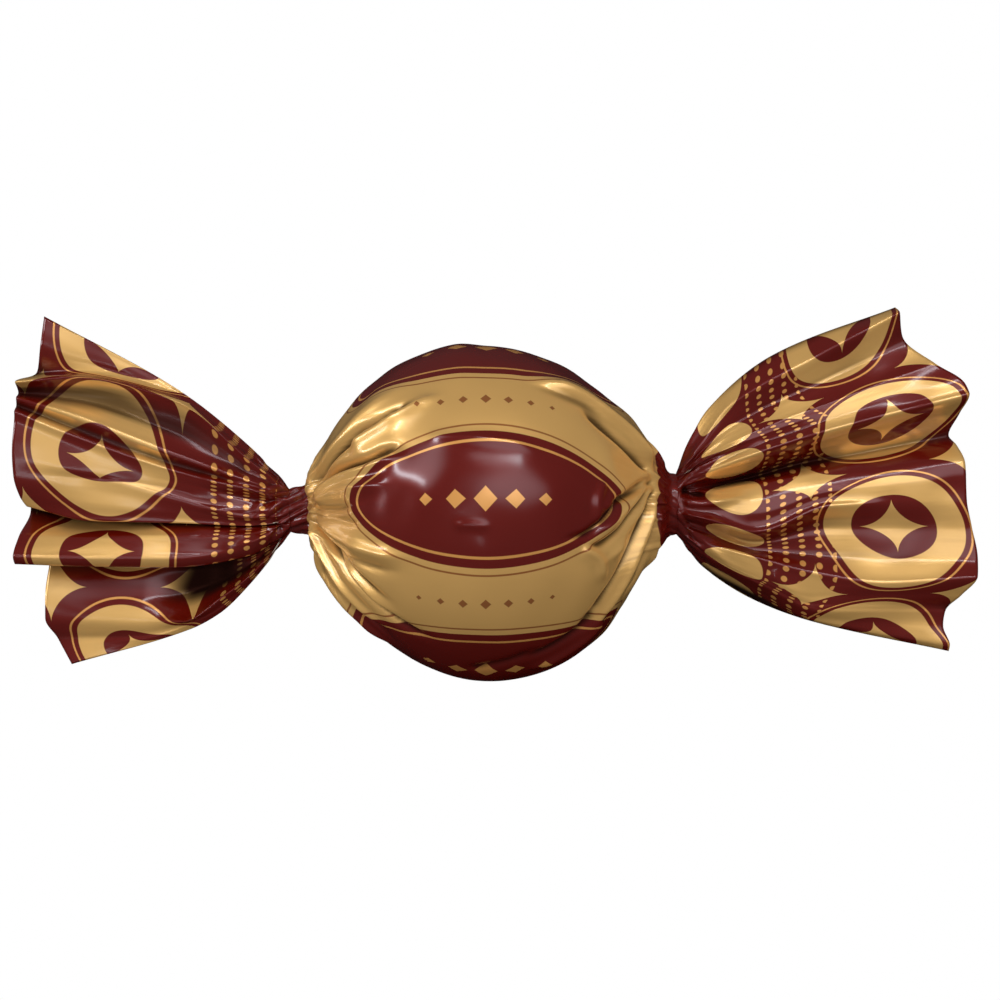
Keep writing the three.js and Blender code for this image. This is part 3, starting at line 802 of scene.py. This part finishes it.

# Each rib: where it leaves the neck, in degrees from the printed face towards the top; how high a sharp
# crease stands along it, and the shares of the tail between which it does; then its way as x, y and
# height over the neck.
LEFT_RIBS = [
    (90, 0, 0, 1, [(-26, 7.3, 0.3), (-33.8, 13.5, 0), (-48.8, 21.7, -1.0)]),
    (83, 0, 0, 1, [(-26, 6.8, 0.9), (-33.8, 13.1, 0.3), (-49.2, 18.4, -0.5)]),
    (76, 0, 0, 1, [(-26, 6.3, 1.2), (-34, 12.7, 0.7), (-45.3, 15.6, -0.7), (-49.8, 15.5, -1.9)]),
    (70, 0.5, 0.1, 1, [(-26, 5.9, 1.7), (-34, 12.2, 1.4), (-45.3, 14.8, 1.2), (-51.4, 14.3, 2.3)]),
    (62, 0, 0, 1, [(-26, 4.9, 1.9), (-34.5, 9.5, 1.3), (-45.3, 12.7, 0.8), (-51.4, 13.2, 0.6)]),
    (50, 0.7, 0.1, 1, [(-26, 3.6, 2.3), (-34.5, 6.6, 2.4), (-45.3, 10.8, 2.5), (-51.3, 12.6, 1.9)]),
    (42, 0, 0, 1, [(-26, 3.1, 2.0), (-34.5, 5.7, 2.0), (-45.3, 9.7, 2.0), (-51.4, 11.9, 1.5)]),
    (34, 0.6, 0.2, 1, [(-26, 2.6, 2.3), (-34.5, 4.8, 2.3), (-45.3, 8.6, 2.5), (-51.4, 11.1, 2.6)]),
    (14, 0, 0, 1, [(-26, 1.3, 2.3), (-34.5, 2.8, 2.3), (-45.3, 4.9, 2.8), (-51.7, 6.5, 3.0)]),
    (-4, 0.22, 0.1, 0.7, [(-26, -0.3, 2.4), (-32.2, 1.2, 2.3), (-41.2, 3.5, 2.4), (-51.6, 4.2, 2.7)]),
    (-20, 0, 0, 1, [(-26, -0.8, 2.1), (-32.5, -0.3, 1.9), (-43, 0.5, 1.7), (-51.0, 1.7, 1.4)]),
    (-32, 0.2, 0, 1, [(-26, -1.4, 1.9), (-33.8, -1.1, 1.7), (-43.2, -0.9, 1.4), (-50.4, 0.7, 0.6)]),
    (-36, 0, 0, 1, [(-26, -1.1, 0.0), (-33.8, -0.8, -1.2), (-43.2, -0.5, -2.1), (-50.6, 0.9, -2.8)]),
    (-40, 0.2, 0.2, 0.6, [(-26, -1.6, 1.4), (-33.8, -1.5, 1.0), (-43.2, -1.5, -0.2), (-50.5, -0.1, -1.7)]),
    (-48, 0, 0, 1, [(-26, -2.6, 1.6), (-34, -3.0, 1.5), (-44, -2.9, 1.3), (-51.2, -2.6, 1.4)]),
    (-56, 0.22, 0.3, 1, [(-26, -3.8, 1.5), (-34, -4.9, 2.2), (-44, -4.85, 2.4), (-51.6, -4.7, 2.7)]),
    (-62, 0, 0, 1, [(-26, -4.7, 0.9), (-34, -5.95, 1.5), (-44, -5.85, 1.7), (-51.5, -5.6, 1.9)]),
    (-64, 0, 0, 1, [(-26, -4.3, 0.2), (-34, -5.4, -0.2), (-44, -5.1, -0.6), (-49.9, -4.9, -0.4)]),
    (-67, 0, 0, 1, [(-26, -4.8, -1.4), (-30, -5.6, -2.9), (-36, -6.0, -1.9), (-48.4, -5.7, -1.9)]),
    (-73, 0, 0, 1, [(-26, -5.6, -1.7), (-30.5, -7.9, -2.8), (-38, -9.2, -1.0), (-48.7, -8.9, -1.1)]),
    (-80, 0.4, 0.05, 0.5, [(-26, -6.9, 0.1), (-29.1, -9.3, 0.5), (-33.3, -11.9, 0.2), (-48.7, -11.6, -0.8)]),
    (-86, 0, 0, 1, [(-26, -7.5, -0.1), (-31, -11.4, -0.3), (-38.6, -13.7, -1.0), (-47.4, -13.9, -1.9)]),
    (-90, 0, 0, 1, [(-26, -7.8, -0.5), (-29.3, -11.0, -0.6), (-32.6, -12.8, -0.8), (-45.8, -16.7, -1.2)]),
]
RIGHT_RIBS = [
    (90, 0, 0, 1, [(21.9, 7.2, 0.3), (24.4, 11.5, 0), (31.7, 17.5, -0.4), (45.1, 22.7, -1.0)]),
    (76, 0.3, 0.2, 1, [(23.5, 7.9, 1.4), (26.8, 11.9, 1.4), (35.6, 16.9, 1.2), (45.3, 22.0, 1.0)]),
    (66, 0, 0, 1, [(23.5, 6.7, 2.0), (26.8, 10.0, 1.5), (37.4, 15.3, 0.5), (45.8, 19.4, 0.0)]),
    (57, 0.25, 0.2, 1, [(23.5, 5.9, 2.6), (27.9, 8.3, 2.1), (39.2, 12.7, 1.3), (49.0, 16.5, 1.1)]),
    (48, 0, 0, 1, [(23.5, 5.2, 2.8), (28, 6.9, 2.4), (38.5, 10.6, 2.0), (52.2, 14.2, 2.6)]),
    (40, 0.4, 0.1, 1, [(23.8, 4.5, 2.9), (29.9, 6.7, 2.6), (36.1, 8.7, 2.3), (52.65, 13.0, 2.7)]),
    (33, 0, 0, 1, [(23.8, 3.6, 2.2), (29.4, 5.0, 0.9), (36.1, 7.0, 0.5), (52.0, 10.9, 0.3)]),
    (28, 0, 0, 1, [(23.8, 2.8, 0.7), (28.8, 3.8, -1.9), (35, 5.5, -1.9), (40, 6.4, -1.3), (51.1, 8.6, -1.6)]),
    (20, 0.15, 0.3, 0.9, [
        (24, 2.4, 2), (29, 3.2, 1.2), (36.5, 4.6, 0.4), (45.2, 6.6, -0.3), (51.8, 7.5, -0.6),
    ]),
    (6, 0, 0, 1, [(24, 1.4, 3.1), (29, 1.0, 2.4), (36.5, 2.9, 1.4), (52.5, 5.4, 1.0)]),
    (-18, 0.35, 0, 0.65, [(24, -0.6, 3.3), (29.3, -2.0, 2.7), (37.8, 0.8, 1.6), (52.65, 1.4, 1.3)]),
    (-30, 0, 0, 1, [(24, -1.5, 2.2), (29.5, -3.1, 1.1), (37.5, -1.5, 0.4), (53.2, -1.4, 1.1)]),
    (-42, 0, 0, 1, [(24, -2.5, 1.7), (30, -4.1, 0.6), (37, -4.3, 0.3), (53.8, -5.0, 1.5)]),
    (-53, 0.3, 0.2, 1, [
        (24, -3.3, 1.7), (30, -5, 1.3), (36.1, -6.6, 1.4), (43.5, -7.6, 1.6), (53.6, -7, 2.3),
    ]),
    (-63, 0, 0, 1, [(24, -4.3, 1.3), (30, -7.2, 1.2), (36, -9.2, 1.2), (52.1, -9.0, 1.1)]),
    (-72, 0.15, 0.5, 1, [(24, -4.6, 0.9), (30, -7.8, 0.9), (37, -10.7, 0.8), (50.5, -10.9, -0.3)]),
    (-80, 0, 0, 1, [(24, -5.1, -0.3), (30, -8.5, -0.6), (36, -11.4, 0.0), (50.3, -12.4, -0.4)]),
    (-86, 0, 0, 1, [(24, -5.5, -1.6), (30, -9.2, -2.1), (36, -11.9, -0.8), (51.0, -14.5, -0.2)]),
    (-90, 0, 0, 1, [(24, -6.0, -2.8), (30, -9.8, -3.4), (36, -12.0, -1.9), (51.0, -15.25, -1.0)]),
]

# Fine creases of each tail's shown layer: the way each runs, its height and half width.
LEFT_CREASES = [
    ([(-22.5, 1.6), (-26.5, 3.2), (-31, 5.6)], 0.35, 0.35),
    ([(-22.5, 0.9), (-27.0, 1.8), (-31.5, 2.9)], -0.3, 0.3),
    ([(-22.5, 0.2), (-27.5, 0.4), (-33, 0.6)], 0.25, 0.35),
    ([(-22.5, -0.8), (-25.5, -1.8), (-29.5, -2.2)], -0.35, 0.35),
    ([(-22.5, -1.4), (-25, -2.9), (-28.5, -3.9)], 0.3, 0.35),
]
RIGHT_CREASES = [
    ([(21.2, 2.5), (22.6, 2.2), (24.6, 1.8)], -1.4, 0.45),
    ([(21.3, 1.0), (23.5, 0.9), (26.5, 1.5), (29, 2.0)], 0.45, 0.4),
    ([(21.3, 0.2), (24.5, -1.2), (28.6, -3.6)], 0.4, 0.35),
    ([(21.3, -0.6), (25.6, -2.4), (30, -4.6)], -0.4, 0.4),
    ([(21.5, 3.4), (25, 5.2), (30, 7.6)], -0.25, 0.35),
    ([(22, -1.6), (25, -4.3), (28, -6.6)], 0.3, 0.4),
    ([(31.0, -6.6), (33.4, -8.4), (35.6, -9.4)], 0.25, 0.9),
]

# Random pleats of the shown layer, short ones out of the neck and faint ones all over, and broad waves:
# their height and half width, the share of the tail at which one starts and that it runs for, and by how
# much it widens over the whole tail.
SHORT_PLEATS = dict(
    count=26, tall=(0.15, 0.4), wide=(0.2, 0.35), start=(0.0, 0.02), length=(0.1, 0.34), widen=1.56
)
FAINT_PLEATS = dict(
    count=22, tall=(0.04, 0.12), wide=(0.22, 0.5), start=(0.0, 0.5), length=(0.3, 0.9), widen=0.18
)
BROAD_WAVES = dict(tall=(0.12, 0.32), wide=(0.6, 1.1), start=(0.0, 0.2), length=(1.2, 1.8), widen=0.36)


def tail_start(neck):
    """Where along the sweet a tail leaves its neck."""
    return neck["side"] * (neck["x"] + neck["length"])


def rib_lines(ribs, neck, shares):
    """Every rib's place at every share of the tail's length, as shares by ribs by xyz."""
    start = tail_start(neck)
    radius = neck["radius"] * TAIL_ROOT
    lines = []
    for degrees, _, _, _, way in ribs:
        turn = math.radians(degrees)
        root = (start, neck["y"] + radius * math.sin(turn), radius * math.cos(turn))
        points = np.array([root, *way])
        at = (points[:, 0] - start) / (points[-1, 0] - start)
        lines.append(through(at, points, shares))
    return np.stack(lines, axis=1)


def rib_crease(face, rib, gap_side, tall, first, last, shares):
    """Height of the sharp crease along one rib, on a face of shares by rows by xyz."""
    gap = np.linalg.norm((face - rib[:, None])[..., 1:], axis=2)
    profile = ridge(gap, np.where(gap_side > 0, LOWER_WIDTH, UPPER_WIDTH), steep=1.2)
    run = smooth(first - 0.15, first + 0.1, shares)
    if last < 1:
        run = run * (1 - smooth(last - 0.1, last + 0.1, shares))
    return tall * profile * run[:, None]


def loose_pleats(face, across, shares, dice, count, tall, wide, start, length, widen):
    """Height of random pleats that run along the tail, from the neck or from further out."""
    spread = np.abs(face[:, -1, 1] - face[:, 0, 1])[:, None]
    total = np.zeros(face.shape[:2])
    for k in range(count):
        middle = (k + dice.uniform(0.1, 0.9)) / count
        first = dice.uniform(*start)
        last = first + dice.uniform(*length)
        size = dice.uniform(*tall) * (1 if k % 2 else -1)
        width = dice.uniform(*wide) + widen * (shares - first).clip(0)[:, None]
        pleat = ridge((across[None] - middle) * spread, width, steep=1.2, peak=1.4)
        run = smooth(first, first + 0.04, shares) * (1 - smooth(mix(first, last, 0.4), last, shares))
        total += size * pleat * run[:, None]
    return total


def on_table(x, y):
    """No height at all, for creases that are measured on a tail laid flat."""
    return x * 0


def tail_face(neck, ribs, creases, waves, seed, shares, across):
    """The shown layer of a tail, as shares of its length by rows from its upper edge by xyz."""
    lines = rib_lines(ribs, neck, shares)
    # the film is as wide everywhere as at its cut end, so a rib's place on it is its way along that
    knots = way_along(lines[-1])
    knots /= knots[-1]
    face = through(knots, lines.transpose(1, 0, 2), across).transpose(1, 0, 2)
    for k, (_, tall, first, last, _) in enumerate(ribs):
        if tall:
            face[..., 2] += rib_crease(face, lines[:, k], across - knots[k], tall, first, last, shares)

    dice = np.random.default_rng(seed)
    for pleats in (SHORT_PLEATS, FAINT_PLEATS, dict(BROAD_WAVES, count=waves)):
        face[..., 2] += loose_pleats(face, across, shares, dice, **pleats)
    level = face.reshape(-1, 3) * (1, 1, 0)
    for path, tall, wide in creases:
        raised = crease(level, path, on_table, tall, wide, wide, fade=(0.1, 0.5))
        face[..., 2] += raised.reshape(face.shape[:2])

    # the lobes of the bunched film go on for a little way out of the neck
    turn = np.radians(np.interp(across, knots, [rib[0] for rib in ribs]))[None]
    lobe = bunch(neck, turn, face[..., 0]) * (1 - smooth(0.02, 0.16, shares))[:, None]
    face[..., 1] += lobe * np.sin(turn)
    wave = RIPPLE * ripples(face, shortest=4, longest=9, seed=seed) * smooth(0, 0.3, shares)[:, None]
    face[..., 2] += lobe * np.cos(turn) + wave
    return face


def tail_back(neck, face, shares, up, seed):
    """The hidden layer, close under the lowest film of the shown one, where up is 0 at the lower edge."""
    top, bottom, end = face[:, :1], face[:, -1:], face[-1]
    mid = np.sin(np.pi * up)  # 0 at both edges, 1 halfway
    sway = 0.05 * np.sin(up * 19 + seed) * mid
    y = mix(bottom[..., 1], top[..., 1], np.clip(up + sway, 0, 1)[None])
    order = np.argsort(end[:, 1])
    x_end = np.interp(y[-1], end[order, 1], end[order, 0])
    x = mix(tail_start(neck), x_end[None], shares[:, None])
    x = x - neck["side"] * FALL_BACK * shares[:, None] * mid

    # the lowest film of the shown layer over each place, then a softer line that is nowhere above it
    lowest = np.empty_like(y)
    for i in range(len(shares)):
        near = np.abs(face[i, None, :, 1] - y[i, :, None]) < CLEAR_BESIDE
        lowest[i] = np.where(near, face[i, None, :, 2], np.inf).min(axis=1)
    lowest = np.where(np.isfinite(lowest), lowest, -1)  # for a place with no shown film over it
    window = np.hanning(15)
    padded = np.pad(lowest, ((0, 0), (len(window) // 2,) * 2), mode="edge")
    low = np.array([np.convolve(row, window / window.sum(), mode="valid") for row in padded])
    lowest = np.minimum(low, lowest)
    slack = np.sqrt(mid) * (1 + 0.35 * np.sin(up * 23 + 2 * seed))
    under = lowest - mix(NECK_SAG, END_SAG, shares)[:, None] * slack[None]

    # in the neck the layer rounds off the bundle instead
    middle = (top[..., 1] + bottom[..., 1]) / 2
    radius = np.abs(top[..., 1] - bottom[..., 1]) / 2
    flat_neck = neck["radius"] * TAIL_ROOT / radius
    round_off = -np.sqrt(np.clip(radius**2 - (y - middle) ** 2, 0, None)) * flat_neck
    turn = math.pi - np.arcsin(np.clip((y - middle) / radius, -1, 1))
    lobe = bunch(neck, turn, x) * (1 - smooth(0.02, 0.2, shares))[:, None] * mid
    z = mix(round_off, under, smooth(0, 0.3, shares)[:, None]) + lobe * np.cos(turn)
    z = np.minimum(z, lowest - LEAST_GAP)

    # at its two edges it joins the shown layer
    joined = 1 - smooth(0, JOINED, np.minimum(up, 1 - up))
    z = mix(z, np.where(up < 0.5, bottom[..., 2], top[..., 2]), joined[None])
    return np.stack([x, y + lobe * np.sin(turn), z], axis=2)


def tail(name, side, ribs, creases, waves, seed):
    """One tail as a rolled grid: up its hidden layer from the lower edge, then down its shown layer."""
    neck = NECKS[side]
    mesh, columns, rows, spots = flat_film(name, TAIL_ALONG, TAIL_AROUND)
    shares = columns[:, 0] ** NECK_GATHER
    back = rows[0] < 0.5 - 1e-9  # the rows of the hidden layer
    face = tail_face(neck, ribs, creases, waves, seed, shares, (rows[0][~back] - 0.5) * 2)
    grid = np.concatenate([tail_back(neck, face, shares, rows[0][back] * 2, seed), face], axis=1)
    grid[..., 2] += CENTRE_HEIGHT

    # painted shade: the shown layer is painted darker where it lies low and in its folds
    depth_shade = smooth(DEEP_FROM, DEEP_TO, CENTRE_HEIGHT - grid[..., 2])
    painted_shade = np.maximum(painted_fold_shade(grid[..., 2], deepest=0.35), depth_shade) * ~back
    sheet_u = neck["side"] * mix(ways[side][0][-1], SHEET / 2, shares[:, None])
    shape_film(mesh, spots, grid, sheet_u, (0.75 - rows) * GIRTH, painted_shade)
    close_tube(mesh, caps=False)
    return place_film(mesh, name)


left_tail = tail("left_tail", "left", LEFT_RIBS, LEFT_CREASES, waves=12, seed=3)
right_tail = tail("right_tail", "right", RIGHT_RIBS, RIGHT_CREASES, waves=7, seed=5)

# The film gets its thickness, and its bare inner side shows in the open ends of the tails.
bare_film, bare_shader = film_material("bare_film", roughness=0.35)
bare_shader.inputs["Base Color"].default_value = (*BARE_INNER, 1)
bare_shader.inputs["Metallic"].default_value = 0.35
for piece in (left_tail, right_tail):
    piece.data.materials.append(bare_film)
    wall = piece.modifiers.new("film_thickness", "SOLIDIFY")
    wall.thickness = FILM * MM
    wall.offset = -1
    wall.material_offset = 1  # from the printed film to the bare film
